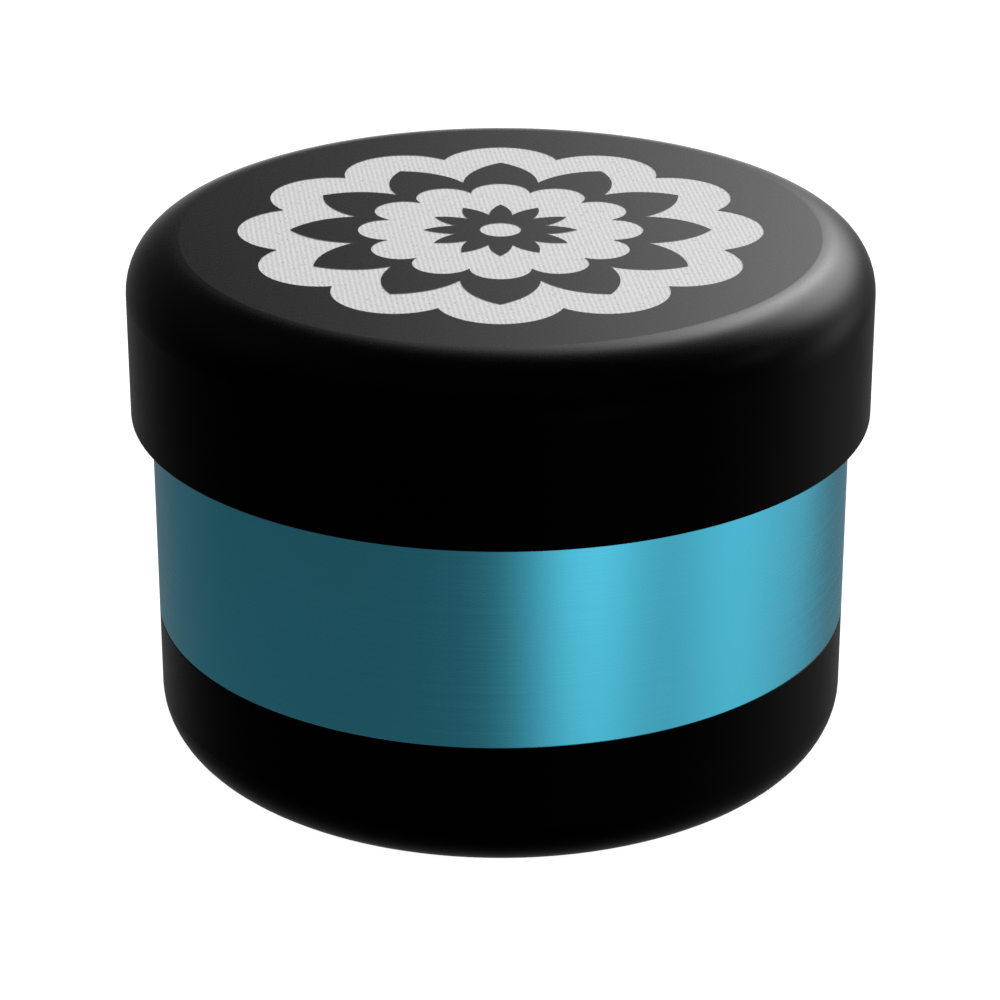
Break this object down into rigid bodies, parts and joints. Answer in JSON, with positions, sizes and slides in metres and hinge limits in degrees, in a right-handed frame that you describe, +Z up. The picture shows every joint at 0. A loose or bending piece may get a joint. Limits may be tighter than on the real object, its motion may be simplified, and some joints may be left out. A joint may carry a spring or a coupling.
{
  "type": "hand-held twist grinder",
  "caption": "Round hand grinder in stacked stages: a turning lid with an engraved rosette over a toothed mill band, screwed to a base cup with a drop-in screen.",
  "frame": {"origin": "centre of the base's underside, on the surface the grinder stands on", "axes": "+Z up along the axis that every stage turns about, -Y towards the side the picture is taken from, +X to the picture's right"},
  "size_m": [0.063, 0.063, 0.0454],
  "materials": {
    "black_anodised": "satin anodised",
    "blue_anodised": "satin anodised",
    "toothed_metal": "machined",
    "bare_metal": "satin",
    "mesh_wire": "woven wire",
    "spring_steel": "bright",
    "screw_steel": "oiled",
    "magnet": "nickel plated",
    "gasket_rubber": "matt",
    "glide_plastic": "waxy",
    "tooth_steel": "ground"
  },
  "bodies": {
    "base": {"base_cup": "black_anodised", "screen_frame": "bare_metal", "screen_mesh": "mesh_wire", "screen_clip": "spring_steel", "scraper": "bare_metal"},
    "gasket": {"thread_gasket": "gasket_rubber"},
    "chamber": {"chamber_band": "blue_anodised", "mill_plate": "toothed_metal", "mill_teeth": "tooth_steel", "mill_hub": "bare_metal", "mill_magnet": "magnet", "mill_magnet_cap": "bare_metal", "mill_screws": "screw_steel"},
    "glide": {"glide_ring": "glide_plastic"},
    "lid": {"lid_shell": "black_anodised", "lid_tooth_plate": "toothed_metal", "lid_teeth": "tooth_steel", "lid_hub": "bare_metal", "lid_magnet": "magnet", "lid_magnet_cap": "bare_metal", "lid_screws": "screw_steel"}
  },
  "joints": [
    {"name": "chamber_rise", "type": "slide", "parent": "base", "child": "gasket", "axis": [0, 0, 1], "range_m": [0, 0.00375]},
    {"name": "chamber_unscrew", "type": "hinge", "parent": "gasket", "child": "chamber", "pos_m": [0, 0, 0.012], "axis": [0, 0, 1], "range_deg": [0, 900]},
    {"name": "lid_lift", "type": "slide", "parent": "chamber", "child": "glide", "axis": [0, 0, 1], "range_m": [0, 0.03]},
    {"name": "lid_turn", "type": "hinge", "parent": "glide", "child": "lid", "pos_m": [0, 0, 0.0397], "axis": [0, 0, 1], "continuous": true}
  ],
  "couplings": [
    {"joint": "chamber_rise", "follows": "chamber_unscrew", "m_per_rad": 0.00023873}
  ]
}
